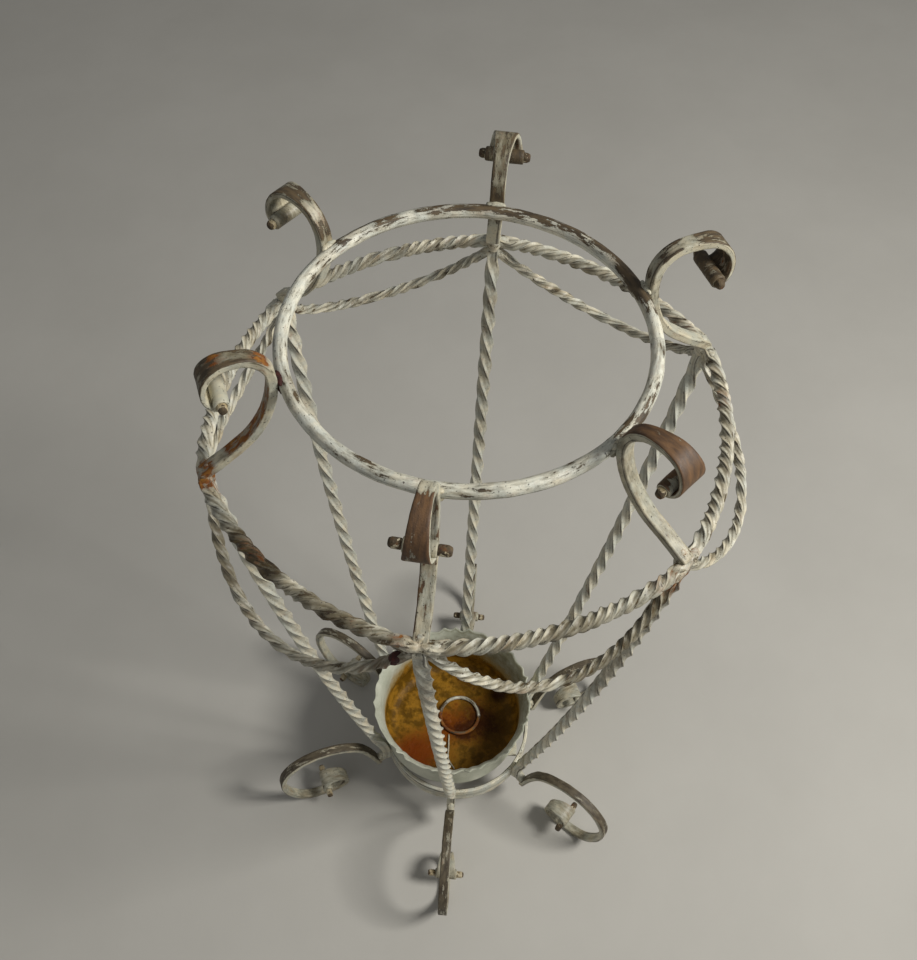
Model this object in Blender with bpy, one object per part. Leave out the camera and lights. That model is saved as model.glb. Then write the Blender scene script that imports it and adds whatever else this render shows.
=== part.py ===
"""Wrought-iron flared stand: six posts, a round top ring, twisted bars and a loose drip pan.

Metres, +Z up, front towards -Y. The origin is on the floor, at the middle of the box round the stand.
Everything is drawn round the ring's upright axis, which stands a little off that origin.
Each post is four bars welded end to end: a foot, an upright, and a scroll bar that holds the top ring,
with a pin rolled into the end of the foot and of the scroll.
"""

import math
from typing import NamedTuple

import bmesh
import bpy
from mathutils import Vector


class Post(NamedTuple):
    """A post: its azimuths in degrees at three levels, and how it departs from the usual post.

    The swag and the turns are those of the two bars that run from it to the next post.
    """

    name: str
    belt_azimuth: float
    ring_azimuth: float
    low_azimuth: float
    belt_radius: float = 0.197
    belt_height: float = 0.641
    curl_rise: float = 0.028
    curl_flat: float = 0.0
    curl_reach: float = 0.018
    roll_wide: float = 0.030
    swag_bulge: float = 0.012
    swag_drop: float = 0.056
    belt_turns: float = 3.75
    swag_turns: float = 3.25
    foot_size: float = 1.0


class Hanging(NamedTuple):
    """A kind of twisted bar that runs from each post to the next."""

    bar: float
    beside: float
    inward: float
    below_belt: float


class FlatBar(NamedTuple):
    """The section of a flat bar, and how long a stretch before its rolled end is drawn out."""

    wide: float
    thick: float
    tail: float


# Posts, anticlockwise from the front. The stand is bent and welded by eye, so no two are quite alike.
POSTS = (
    Post(
        "front", 262.0, 261.0, 267.0,
        belt_height=0.646, curl_rise=0.021, curl_flat=0.003, curl_reach=0.022, roll_wide=0.022,
        swag_bulge=0.003,
        belt_turns=4.5, swag_turns=5.0,
    ),
    Post(
        "front_right", 321.0, 316.5, 323.5,
        curl_rise=0.026, curl_flat=0.007, curl_reach=0.017, swag_bulge=0.019, swag_drop=0.044,
        belt_turns=4.0, swag_turns=4.0, foot_size=0.96,
    ),
    Post(
        "back_right", 22.7, 21.0, 22.5,
        belt_radius=0.205, curl_rise=0.023, curl_flat=0.012, curl_reach=0.022, foot_size=0.92,
    ),
    Post("back", 84.0, 82.0, 85.5, curl_rise=0.030, curl_reach=0.016, swag_bulge=0.017),
    Post(
        "back_left", 141.5, 141.0, 147.5,
        belt_radius=0.195, belt_height=0.638, belt_turns=4.0, foot_size=0.94,
    ),
    Post(
        "front_left", 197.5, 199.5, 201.5,
        belt_radius=0.199, curl_rise=0.022, curl_flat=0.005, curl_reach=0.019, swag_turns=4.0,
    ),
)

GAP = 0.0003  # left between pieces that are welded or rest on each other
AXIS_PLACE = Vector((-0.006, 0.0, 0.0))  # the posts reach farther to the right than to the left

# Top ring: round bar.
RING_RADIUS = 0.130
RING_BAR = 0.010
RING_HEIGHT = 0.730

# Belt: the widest level, where scroll bars, uprights, belt bars and swag bars meet.
JOINT_HEIGHT = 0.6415
BELT_BULGE = -0.006

# Uprights: square bar, twisted between plain ends.
UPRIGHT_BAR = 0.0095
UPRIGHT_BOW = 0.0095
UPRIGHT_TURNS = 5
UPRIGHT_LOWER_PLAIN = 0.030
UPRIGHT_UPPER_PLAIN = 0.020
UPRIGHT_STRAIGHT_FROM = 0.95  # share of the rise above which it no longer moves sideways

# Hoop that holds the pan, and the two flat bars across it that the pan rests on.
HOOP_RADIUS = 0.084
HOOP_WALL = 0.004
HOOP_FOOT = 0.044
HOOP_TALL = 0.022
REST_BAR_WIDE = 0.016
REST_BAR_THICK = 0.003
REST_BAR_OFFSET = 0.030

# Scroll bar: flat bar whose end is drawn out to a fishtail and rolled round a pin.
SCROLL_BAR = FlatBar(wide=0.011, thick=0.007, tail=0.065)
SCROLL_START_HEADING = 143.0
SCROLL_LEAN_RADIUS = 0.098
SCROLL_TUCK = 0.55  # the last curl's radius, as a share of the one before
SCROLL_SIDEWAYS_FROM = 0.010  # height over its start at which it begins to lean sideways

# Twisted bars between the posts: the thick ones end beside the scroll bars, the thin ones beside the uprights.
BELT = Hanging(bar=0.0085, beside=SCROLL_BAR.wide / 2, inward=0.0, below_belt=0.0)
SWAG = Hanging(bar=0.0065, beside=UPRIGHT_BAR / 2, inward=0.002, below_belt=0.0105)
HANGING_PLAIN = 0.010

# Foot: flatter bar, bent as a C that stands on its own back.
FOOT_BAR = FlatBar(wide=0.010, thick=0.006, tail=0.065)
FOOT_CLEARANCE = 0.001  # keeps the foot's leaning lower end off the upright
FOOT_RISE_LENGTH = 0.0388
FOOT_RISE_HEADING = 72.0
FOOT_CURLS = ((0.055, 72.0), (0.0495, 90.0), (0.075, 40.0), (0.027, 50.0))
FOOT_SOLE_LENGTH = 0.016
FOOT_TOE_CURLS = ((0.0175, 180.0), (0.0105, 90.0))

# Rolled ends and their pins.
FOOT_ROLL_WIDE = 0.024
ROLL_THICK = 0.0025
ROLL_CLEARANCE = 0.0004  # between the roll and its pin, so that facets of the two never touch
ROLL_TURN = 285.0
TAIL_FLARE = 1.5  # power by which the tail widens towards its roll
PIN_RADIUS = 0.0026
PIN_LENGTH = 0.039

# Drip pan: sheet metal with a frilled rim, and the wire ring that lies in it.
PAN_RIM_RADIUS = 0.089
PAN_RIM_HEIGHT = 0.137
PAN_WALL = 0.0015
PAN_FLOOR_RADIUS = 0.066
PAN_CORNER = 0.012
PAN_LEAN = 0.05
PAN_OFF_CENTRE = Vector((-0.006, 0.0, 0.0))  # the loose pan has slid to the left
PAN_NECK_DROP = 0.014  # how far under the rim the frill begins to show
PAN_NECK_FRILL = 0.25
PAN_LOBES = 24
PAN_FRILL = 0.0015
WIRE_RING_RADIUS = 0.0225
WIRE = 0.004
WIRE_RING_PLACE = (0.009, 0.008)  # its middle, from the pan's

# Facets of the solids.
TWIST_STEP = math.radians(36.0)
BEND_STEP = math.radians(15.0)
ROLL_STEP = math.radians(31.7)
RING_SIDES = 48
ROUND_SIDES = 8
SEGMENTS_PER_LOBE = 3


def material(name, colour, roughness, metallic):
    made = bpy.data.materials.new(name)
    made.use_nodes = True
    shader = made.node_tree.nodes["Principled BSDF"]
    shader.inputs["Base Color"].default_value = (*colour, 1.0)
    shader.inputs["Roughness"].default_value = roughness
    shader.inputs["Metallic"].default_value = metallic
    made.diffuse_color = (*colour, 1.0)
    return made


def add_object(name, form, look, parent=None):
    """Turns a bmesh into a named object, smooth except over its real edges."""
    bmesh.ops.recalc_face_normals(form, faces=form.faces)
    mesh = bpy.data.meshes.new(name)
    form.to_mesh(mesh)
    form.free()
    mesh.shade_smooth()
    mesh.set_sharp_from_angle(angle=math.radians(38.0))
    mesh.materials.append(look)
    made = bpy.data.objects.new(name, mesh)
    bpy.context.scene.collection.objects.link(made)
    made.parent = parent
    return made


def axes_at(azimuth):
    """Unit vectors outward and anticlockwise at an azimuth in radians."""
    outward = Vector((math.cos(azimuth), math.sin(azimuth), 0.0))
    across = Vector((-math.sin(azimuth), math.cos(azimuth), 0.0))
    return outward, across


def skin_rings(form, corners_by_ring, close_loop):
    """Joins rings of corner points into a tube: a closed loop, or a bar with flat ends."""
    rings = [[form.verts.new(corner) for corner in corners] for corners in corners_by_ring]
    pairs = list(zip(rings, rings[1:]))
    if close_loop:
        pairs.append((rings[-1], rings[0]))
    else:
        form.faces.new(rings[0])
        form.faces.new(rings[-1])
    for ring, following in pairs:
        for i, vertex in enumerate(ring):
            j = (i + 1) % len(ring)
            form.faces.new((vertex, ring[j], following[j], following[i]))


def rectangle(centre, first, second, first_size, second_size):
    """Four corners round a centre, along two unit vectors."""
    a = first * first_size / 2
    b = second * second_size / 2
    return [centre + a + b, centre - a + b, centre - a - b, centre + a - b]


def bent_line(start, heading, bends, tail_bends=()):
    """Points and headings along a bar bent clockwise in one plane.

    A bend is (radius, degrees), and a straight is (length, 0). Tail bends use the coarser roll step.
    """
    x, z = start
    heading = math.radians(heading)
    line = [(x, z, heading)]
    steps = [(bend, BEND_STEP) for bend in bends] + [(bend, ROLL_STEP) for bend in tail_bends]
    for (size, degrees), step in steps:
        if degrees == 0:
            if size == 0:
                continue
            x += size * math.cos(heading)
            z += size * math.sin(heading)
            line.append((x, z, heading))
            continue
        turn = math.radians(degrees)
        count = max(1, math.ceil(turn / step - 1e-6))
        for _ in range(count):
            following = heading - turn / count
            x += size * (math.sin(heading) - math.sin(following))
            z += size * (math.cos(following) - math.cos(heading))
            heading = following
            line.append((x, z, heading))
    return line


def lengths_along(line):
    total = [0.0]
    for (x0, z0, _), (x1, z1, _) in zip(line, line[1:]):
        total.append(total[-1] + math.hypot(x1 - x0, z1 - z0))
    return total


def flat_bar_with_rolled_end(name, azimuths, line, bar, roll_wide, look):
    """A flat bar along a line in a post's upright plane, drawn out to a fishtail over its last stretch."""
    up = Vector((0.0, 0.0, 1.0))
    along = lengths_along(line)
    roll_length = math.radians(ROLL_TURN) * roll_radius()
    stations = []
    for azimuth, (radius, height, heading), distance in zip(azimuths, line, along):
        outward, across = axes_at(azimuth)
        left_over = along[-1] - distance - roll_length
        drawn = min(1.0, max(0.0, 1.0 - left_over / bar.tail))
        width = bar.wide + (roll_wide - bar.wide) * drawn**TAIL_FLARE
        depth = bar.thick + (ROLL_THICK - bar.thick) * drawn
        centre = outward * radius + up * height
        normal = -outward * math.sin(heading) + up * math.cos(heading)
        stations.append(rectangle(centre, normal, across, depth, width))
    form = bmesh.new()
    skin_rings(form, stations, close_loop=False)
    return add_object(name, form, look)


def roll_radius():
    return PIN_RADIUS + ROLL_CLEARANCE + ROLL_THICK / 2


def roll_centre(line):
    """The middle of the roll that a bent line ends with, as (radius, height)."""
    x, z, heading = line[-1]
    return x + roll_radius() * math.sin(heading), z - roll_radius() * math.cos(heading)


def pin(name, azimuth, centre, look):
    outward, across = axes_at(azimuth)
    up = Vector((0.0, 0.0, 1.0))
    middle = outward * centre[0] + up * centre[1]
    stations = []
    for end in (-PIN_LENGTH / 2, PIN_LENGTH / 2):
        ring = []
        for i in range(ROUND_SIDES):
            angle = math.tau * i / ROUND_SIDES
            spoke = outward * math.cos(angle) + up * math.sin(angle)
            ring.append(middle + across * end + spoke * PIN_RADIUS)
        stations.append(ring)
    form = bmesh.new()
    skin_rings(form, stations, close_loop=False)
    return add_object(name, form, look)


def twisted_bar(name, points, outwards, size, turns, plain_start, plain_end, look, end_directions=None):
    """A square bar along points, twisted left-handed between its plain ends."""
    distances = [0.0]
    for one, other in zip(points, points[1:]):
        distances.append(distances[-1] + (other - one).length)
    twist_start = plain_start
    twist_end = distances[-1] - plain_end
    form = bmesh.new()
    stations = []
    for i, point in enumerate(points):
        before = points[max(i - 1, 0)]
        after = points[min(i + 1, len(points) - 1)]
        direction = (after - before).normalized()
        if end_directions and i in (0, len(points) - 1):
            direction = end_directions[0 if i == 0 else 1]
        first = (outwards[i] - direction * outwards[i].dot(direction)).normalized()
        second = direction.cross(first)
        share = min(1.0, max(0.0, (distances[i] - twist_start) / (twist_end - twist_start)))
        angle = -math.tau * turns * share
        turned = first * math.cos(angle) + second * math.sin(angle)
        stations.append(rectangle(point, turned, direction.cross(turned), size, size))
    skin_rings(form, stations, close_loop=False)
    return add_object(name, form, look)


def shares_with_plain_ends(length, turns, plain_start, plain_end):
    """Shares of a bar's length where it needs a station: both ends, and every step of its twist."""
    count = math.ceil(math.tau * turns / TWIST_STEP)
    start = plain_start / length
    end = 1.0 - plain_end / length
    return [0.0] + [start + (end - start) * i / count for i in range(count + 1)] + [1.0]


def upright(name, post, look):
    """Rises from beside the hoop to the belt: upright at the hoop, then leaning out in a slight bow."""
    low_radius = HOOP_RADIUS + GAP + UPRIGHT_BAR / 2
    low_height = HOOP_FOOT + HOOP_TALL
    top_radius = post.belt_radius - GAP
    rise = JOINT_HEIGHT - low_height
    plain_low = HOOP_TALL + UPRIGHT_LOWER_PLAIN

    def place(height):
        share = max(0.0, (height - low_height) / rise)
        radius = low_radius + (top_radius - low_radius) * share + UPRIGHT_BOW * 4 * share * (1 - share)
        sideways = min(1.0, share / UPRIGHT_STRAIGHT_FROM)
        azimuth = post.low_azimuth + (post.belt_azimuth - post.low_azimuth) * sideways
        outward, _ = axes_at(math.radians(azimuth))
        return outward * radius + Vector((0.0, 0.0, height)), outward

    full = JOINT_HEIGHT - HOOP_FOOT
    heights = [HOOP_FOOT, low_height]
    for share in shares_with_plain_ends(full, UPRIGHT_TURNS, plain_low, UPRIGHT_UPPER_PLAIN)[1:]:
        heights.append(HOOP_FOOT + full * share)
    placed = [place(height) for height in heights]
    points = [point for point, _ in placed]
    outwards = [outward for _, outward in placed]
    up = Vector((0.0, 0.0, 1.0))
    return twisted_bar(
        name, points, outwards, UPRIGHT_BAR, UPRIGHT_TURNS, plain_low, UPRIGHT_UPPER_PLAIN, look, (up, up)
    )


def hanging_bar(name, kind, turns, start, end, drop, bulge, look):
    """A twisted bar from one post to the next, hanging by drop and standing out by bulge at its middle."""
    start_azimuth = math.radians(start.belt_azimuth)
    span = math.radians(end.belt_azimuth - start.belt_azimuth) % math.tau
    inset = math.asin((kind.beside + GAP) / start.belt_radius)
    length = start.belt_radius * (span - 2 * inset)

    def place(share):
        hang = 1 - (2 * share - 1) ** 2
        outward, _ = axes_at(start_azimuth + inset + (span - 2 * inset) * share)
        radius = start.belt_radius + (end.belt_radius - start.belt_radius) * share - kind.inward
        height = start.belt_height + (end.belt_height - start.belt_height) * share - kind.below_belt
        return outward * (radius + bulge * hang) + Vector((0.0, 0.0, height - drop * hang)), outward

    shares = shares_with_plain_ends(length, turns, HANGING_PLAIN, HANGING_PLAIN)
    placed = [place(share) for share in shares]
    points = [point for point, _ in placed]
    outwards = [outward for _, outward in placed]
    ends = (axes_at(start_azimuth)[1], axes_at(start_azimuth + span)[1])
    plain_run = (points[1] - points[0]).length
    return twisted_bar(name, points, outwards, kind.bar, turns, plain_run, plain_run, look, ends)


def revolve(form, profile, sides):
    """Sweeps a closed profile of (radius, height) points round the Z axis."""
    rings = []
    for i in range(sides):
        outward, _ = axes_at(math.tau * i / sides)
        rings.append([outward * radius + Vector((0.0, 0.0, height)) for radius, height in profile])
    skin_rings(form, rings, close_loop=True)


def round_ring(name, radius, bar, centre, sides, look, parent=None):
    form = bmesh.new()
    profile = []
    for i in range(ROUND_SIDES):
        angle = math.tau * (i + 0.5) / ROUND_SIDES
        profile.append((radius + bar / 2 * math.cos(angle), bar / 2 * math.sin(angle)))
    revolve(form, profile, sides)
    bmesh.ops.translate(form, verts=form.verts, vec=centre)
    return add_object(name, form, look, parent)


def pan_hoop(look):
    inner = HOOP_RADIUS - HOOP_WALL
    top = HOOP_FOOT + HOOP_TALL
    form = bmesh.new()
    profile = ((HOOP_RADIUS, HOOP_FOOT), (HOOP_RADIUS, top), (inner, top), (inner, HOOP_FOOT))
    revolve(form, profile, RING_SIDES)
    return add_object("pan_hoop", form, look)


def pan_rest_bar(name, offset, look):
    """A flat bar across the inside of the hoop, its top flush with the hoop's."""
    inner = (HOOP_RADIUS - HOOP_WALL) * math.cos(math.pi / RING_SIDES) - GAP
    half_length = math.sqrt(inner**2 - (abs(offset) + REST_BAR_WIDE / 2) ** 2)
    top = HOOP_FOOT + HOOP_TALL - GAP
    centre = Vector((0.0, offset, top - REST_BAR_THICK / 2))
    stations = []
    for end in (-half_length, half_length):
        middle = centre + Vector((end, 0.0, 0.0))
        across = Vector((0.0, 1.0, 0.0))
        up = Vector((0.0, 0.0, 1.0))
        stations.append(rectangle(middle, across, up, REST_BAR_WIDE, REST_BAR_THICK))
    form = bmesh.new()
    skin_rings(form, stations, close_loop=False)
    return add_object(name, form, look)


def pan_profile(inset):
    """One skin of the pan, from its floor to its rim, as (radius, height, share of the frill)."""
    base = HOOP_FOOT + HOOP_TALL + inset
    corner = PAN_CORNER - inset
    points = []
    for degrees in (0.0, 30.0, 60.0, 90.0):
        angle = math.radians(degrees)
        radius = PAN_FLOOR_RADIUS + corner * math.sin(angle)
        points.append((radius, base + corner * (1 - math.cos(angle)), 0.0))
    neck_height = PAN_RIM_HEIGHT - PAN_NECK_DROP
    neck_radius = points[-1][0] + PAN_LEAN * (neck_height - points[-1][1])
    points.append((neck_radius, neck_height, PAN_NECK_FRILL))
    points.append((PAN_RIM_RADIUS - inset, PAN_RIM_HEIGHT, 1.0))
    return points


def drip_pan(look, parent):
    """A round pan of one wall thickness: outer skin, inner skin, and a wavy rim between them."""
    form = bmesh.new()
    sides = PAN_LOBES * SEGMENTS_PER_LOBE
    skins = []
    for skin in (pan_profile(0.0), pan_profile(PAN_WALL)):
        rings = []
        for radius, height, frill in skin:
            ring = []
            for i in range(sides):
                azimuth = math.tau * i / sides
                outward, _ = axes_at(azimuth)
                wave = PAN_FRILL * frill * math.cos(PAN_LOBES * azimuth)
                ring.append(form.verts.new(outward * (radius + wave) + Vector((0.0, 0.0, height + wave))))
            rings.append(ring)
        middle = form.verts.new((0.0, 0.0, skin[0][1]))
        for i in range(sides):
            form.faces.new((middle, rings[0][i], rings[0][(i + 1) % sides]))
        skins.append(rings)
    strips = [pair for rings in skins for pair in zip(rings, rings[1:])]
    strips.append((skins[0][-1], skins[1][-1]))
    for ring, following in strips:
        for i in range(sides):
            j = (i + 1) % sides
            form.faces.new((ring[i], ring[j], following[j], following[i]))
    return add_object("drip_pan", form, look, parent)


def scroll_line(post):
    """The scroll leans in to the ring's outer side, curls over, and turns back under itself."""
    heading = math.radians(SCROLL_START_HEADING)
    beside_ring = RING_RADIUS + RING_BAR / 2 + GAP + SCROLL_BAR.thick / 2
    bent_in = SCROLL_LEAN_RADIUS * (1 - math.sin(heading))
    straight = (post.belt_radius - beside_ring - bent_in) / -math.cos(heading)
    bends = (
        (straight, 0.0),
        (SCROLL_LEAN_RADIUS, SCROLL_START_HEADING - 90.0),
        (post.curl_rise, 90.0),
        (post.curl_flat, 0.0),
        (post.curl_reach, 90.0),
        (post.curl_reach * SCROLL_TUCK, 90.0),
    )
    start_height = JOINT_HEIGHT + GAP + SCROLL_BAR.thick / 2
    start = (post.belt_radius, start_height)
    return bent_line(start, SCROLL_START_HEADING, bends, ((roll_radius(), ROLL_TURN),))


def scroll_azimuths(post, line):
    """The scroll leans sideways as it rises, from the post's azimuth at the belt to that at the ring."""
    leaning_from = line[0][1] + SCROLL_SIDEWAYS_FROM
    azimuths = []
    leaning = 0.0
    for _, height, _ in line:
        leaning = max(leaning, min(1.0, (height - leaning_from) / (RING_HEIGHT - leaning_from)))
        azimuths.append(math.radians(post.belt_azimuth + (post.ring_azimuth - post.belt_azimuth) * leaning))
    return azimuths


def foot_line(size):
    """The foot starts against the upright's lower end and stands with its sole on the floor."""
    bends = [(FOOT_RISE_LENGTH * size, 0.0)]
    bends += [(radius * size, degrees) for radius, degrees in FOOT_CURLS]
    sole = [(FOOT_SOLE_LENGTH, 0.0)]
    start_radius = HOOP_RADIUS + UPRIGHT_BAR + 2 * GAP + FOOT_BAR.thick / 2 + FOOT_CLEARANCE
    above_floor = bent_line((start_radius, 0.0), FOOT_RISE_HEADING, bends)[-1][1]
    start = (start_radius, FOOT_BAR.thick / 2 - above_floor)
    toe = list(FOOT_TOE_CURLS)
    return bent_line(start, FOOT_RISE_HEADING, bends + sole + toe, ((roll_radius(), ROLL_TURN),))


def axis(name, place):
    """An empty on an upright axis, for the pieces that are drawn round that axis."""
    made = bpy.data.objects.new(name, None)
    made.location = place
    bpy.context.scene.collection.objects.link(made)
    return made


def clear_scene():
    for thing in list(bpy.data.objects):
        bpy.data.objects.remove(thing, do_unlink=True)


def build():
    clear_scene()
    bar_paint = material("chipped_white_bar_paint", (0.60, 0.60, 0.53), 0.55, 0.0)
    ring_paint = material("worn_ring_paint", (0.42, 0.38, 0.32), 0.5, 0.1)
    scroll_paint = material("worn_scroll_paint", (0.50, 0.47, 0.40), 0.55, 0.05)
    foot_paint = material("worn_foot_paint", (0.47, 0.46, 0.40), 0.6, 0.0)
    pin_rust = material("rusty_pin_metal", (0.24, 0.12, 0.06), 0.8, 0.3)
    pan_paint = material("rusted_pan", (0.45, 0.24, 0.07), 0.4, 0.0)
    hidden_paint = material("plain_bar_paint", (0.55, 0.55, 0.50), 0.6, 0.0)

    round_ring("top_ring", RING_RADIUS, RING_BAR, Vector((0.0, 0.0, RING_HEIGHT)), RING_SIDES, ring_paint)
    pan_hoop(bar_paint)
    pan_rest_bar("pan_rest_bar_front", -REST_BAR_OFFSET, hidden_paint)
    pan_rest_bar("pan_rest_bar_back", REST_BAR_OFFSET, hidden_paint)

    for i, post in enumerate(POSTS):
        following = POSTS[(i + 1) % len(POSTS)]
        scroll = scroll_line(post)
        leaning = scroll_azimuths(post, scroll)
        flat_bar_with_rolled_end(
            f"scroll_bar_{post.name}", leaning, scroll, SCROLL_BAR, post.roll_wide, scroll_paint
        )
        pin(f"scroll_pin_{post.name}", leaning[-1], roll_centre(scroll), pin_rust)
        upright(f"upright_{post.name}", post, bar_paint)
        low = math.radians(post.low_azimuth)
        foot = foot_line(post.foot_size)
        flat_bar_with_rolled_end(
            f"foot_{post.name}", [low] * len(foot), foot, FOOT_BAR, FOOT_ROLL_WIDE, foot_paint
        )
        pin(f"foot_pin_{post.name}", low, roll_centre(foot), pin_rust)
        hanging_bar(
            f"belt_bar_{post.name}", BELT, post.belt_turns, post, following, 0.0, BELT_BULGE, bar_paint
        )
        hanging_bar(
            f"swag_bar_{post.name}", SWAG, post.swag_turns, post, following,
            post.swag_drop, post.swag_bulge, bar_paint,
        )

    stand_axis = axis("stand_axis", AXIS_PLACE)
    for made in bpy.data.objects:
        if made.type == "MESH":
            made.parent = stand_axis

    pan_axis = axis("pan_lift_axis", AXIS_PLACE + PAN_OFF_CENTRE)
    drip_pan(pan_paint, pan_axis)
    floor = HOOP_FOOT + HOOP_TALL + PAN_WALL
    ring_place = Vector((*WIRE_RING_PLACE, floor + GAP + WIRE / 2))
    round_ring("pan_wire_ring", WIRE_RING_RADIUS, WIRE, ring_place, RING_SIDES // 2, pan_paint, pan_axis)


build()
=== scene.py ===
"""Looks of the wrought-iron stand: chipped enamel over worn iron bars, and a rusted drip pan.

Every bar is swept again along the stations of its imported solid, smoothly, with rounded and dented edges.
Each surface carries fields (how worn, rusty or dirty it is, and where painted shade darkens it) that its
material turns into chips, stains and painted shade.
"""

import math
from typing import NamedTuple

import bmesh
import bpy
import numpy as np
from mathutils import Matrix, Vector, noise


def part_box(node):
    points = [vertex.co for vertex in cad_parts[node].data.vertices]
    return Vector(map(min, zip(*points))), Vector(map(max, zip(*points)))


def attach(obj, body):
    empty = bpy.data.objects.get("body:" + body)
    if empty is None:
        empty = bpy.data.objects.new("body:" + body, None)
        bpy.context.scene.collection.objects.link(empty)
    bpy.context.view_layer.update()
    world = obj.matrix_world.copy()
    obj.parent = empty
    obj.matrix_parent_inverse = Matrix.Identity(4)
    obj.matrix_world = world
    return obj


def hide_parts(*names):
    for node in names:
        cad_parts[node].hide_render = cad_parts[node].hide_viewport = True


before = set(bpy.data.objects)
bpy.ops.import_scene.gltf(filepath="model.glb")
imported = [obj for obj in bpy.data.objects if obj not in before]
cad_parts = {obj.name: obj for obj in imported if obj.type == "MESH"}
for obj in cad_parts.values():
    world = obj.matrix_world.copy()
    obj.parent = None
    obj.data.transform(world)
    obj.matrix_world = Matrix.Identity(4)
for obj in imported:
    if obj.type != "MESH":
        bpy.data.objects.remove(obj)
bpy.context.view_layer.update()

POSTS = ("front", "front_right", "back_right", "back", "back_left", "front_left")
UP = np.array((0.0, 0.0, 1.0))
RING_LOW, RING_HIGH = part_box("top_ring")
AXIS = np.array(((RING_LOW.x + RING_HIGH.x) / 2, (RING_LOW.y + RING_HIGH.y) / 2, 0.0))

# Rounded corners and hollow faces of the bars.
TWIST_CORNER = 0.05  # as a share of the bar's side
TWIST_HOLLOW = 0.04
FLAT_CORNER = 0.0011
CORNER_ARC = (0.0, 45.0, 90.0)
SIDE_STEPS = (0.12, 0.3, 0.5, 0.7, 0.88)
LIT_FROM = np.array((0.72, -0.2, 0.66))  # painted shade lies on the side of each ridge that faces away from this light

# Dents left by hammer and paint, deeper in the belt and swag bars.
DENT = 0.0003
HANGING_DENT = 0.0006
STRIP_DENT = 0.0004
FINE_DENT = 0.0002
DENT_SCALE = 85.0
GRAIN_SCALE = 330.0

# The belt and swag bars are twisted unevenly.
WOBBLE = 1.3  # radians
WOBBLE_SCALE = 32.0
WOBBLE_EASE = 0.02  # over this length at its ends a bar's wobble dies out

# Between the stations along a bar.
UPRIGHT_SPACING = 0.0024
HANGING_SPACING = 0.0012
FLAT_SPACING = 0.0012

# A bar's end is a little domed.
CAP_RISE = 0.0004
CAP_LID = 0.72


class Patch(NamedTuple):
    """A stretch of one bar whose finish is different, all round it or only where it faces (a, b)."""

    start: float
    end: float
    facing: tuple = (0.0, 0.0)
    worn: float = 0.0
    rust: float = 0.0
    # how much darker: real dirt, and in some patches painted shade
    dirt_and_shade: float = 0.0


class Bar(NamedTuple):
    """A bar at closely spaced stations: its middle, its section's two axes and half sizes there."""

    centres: np.ndarray
    axis_a: np.ndarray
    axis_b: np.ndarray
    half_a: np.ndarray
    half_b: np.ndarray
    closed: bool = False


def unit(vectors):
    return vectors / np.linalg.norm(vectors, axis=-1, keepdims=True)


def dot(one, other):
    return (one * other).sum(axis=-1, keepdims=True)


def outward_at(points):
    """Unit vectors away from the stand's upright axis."""
    return unit((points - AXIS) * (1.0, 1.0, 0.0))


def distances(points):
    steps = np.linalg.norm(np.diff(points, axis=0), axis=1)
    return np.concatenate(((0.0,), np.cumsum(steps)))


def tangents(points):
    return unit(np.gradient(points, axis=0))


def smoothly(values, known, wanted):
    """The cubic curve through rows of values known at some distances, read at the wanted ones."""
    slope = np.gradient(values, known, axis=0)
    i = np.clip(np.searchsorted(known, wanted, side="right") - 1, 0, len(known) - 2)
    gap = known[i + 1] - known[i]
    t = (wanted - known[i]) / gap
    if values.ndim == 2:
        t = t[:, None]
        gap = gap[:, None]
    before = (1 + 2 * t) * (1 - t) ** 2 * values[i] + t * (1 - t) ** 2 * gap * slope[i]
    after = t * t * (3 - 2 * t) * values[i + 1] + t * t * (t - 1) * gap * slope[i + 1]
    return before + after


def traced_rings(node):
    """The rings of four corners that a packed bar is made of, from one end to the other."""
    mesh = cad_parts[node].data
    places = {}
    index = [places.setdefault(tuple(round(c, 6) for c in v.co), len(places)) for v in mesh.vertices]
    near = [set() for _ in places]
    for face in mesh.polygons:
        corners = {index[i] for i in face.vertices}
        for corner in corners:
            near[corner] |= corners
    tips = {i for i, around in enumerate(near) if len(around) < 7}
    ring = {min(tips)}
    for _ in range(2):
        ring = set().union(*(near[i] for i in ring)) & tips
    seen = set()
    rings = []
    points = np.array(list(places))
    while ring:
        rings.append(points[sorted(ring)])
        seen |= ring
        ring = set().union(*(near[i] for i in ring)) - seen
    return np.array(rings)


def twisted(node, spacing, starts_first, wobble=0.0):
    """A twisted square bar: its corners' angle round the bar is followed from ring to ring.

    The twist runs ahead and falls behind by up to the wobble, in radians.
    """
    rings = traced_rings(node)
    if not starts_first(rings[0].mean(axis=0), rings[-1].mean(axis=0)):
        rings = rings[::-1]
    centres = rings.mean(axis=1)
    known = distances(centres)
    wanted = np.linspace(0.0, known[-1], round(known[-1] / spacing) + 1)
    middle = smoothly(centres, known, wanted)
    first, second = level_axes(centres)
    corner = rings[:, 0] - centres
    angle = np.arctan2(dot(corner, second), dot(corner, first))[:, 0] - math.pi / 4
    angle = smoothly(np.unwrap(angle, period=math.pi / 2), known, wanted)[:, None]
    ease = np.clip(np.minimum(wanted, known[-1] - wanted) / WOBBLE_EASE, 0, 1)
    angle += wobble * (ease * bumps(middle, WOBBLE_SCALE))[:, None]
    half = np.linalg.norm(corner, axis=1).mean() / math.sqrt(2)
    first, second = level_axes(middle)
    size = np.full(len(wanted), half)
    return Bar(
        middle,
        first * np.cos(angle) + second * np.sin(angle),
        second * np.cos(angle) - first * np.sin(angle),
        size,
        size,
    )


def level_axes(centres):
    """Axes square to a path: one as far outward as it can be, and the other square to both."""
    along = tangents(centres)
    outward = outward_at(centres)
    first = unit(outward - along * dot(outward, along))
    return first, np.cross(along, first)


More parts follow.
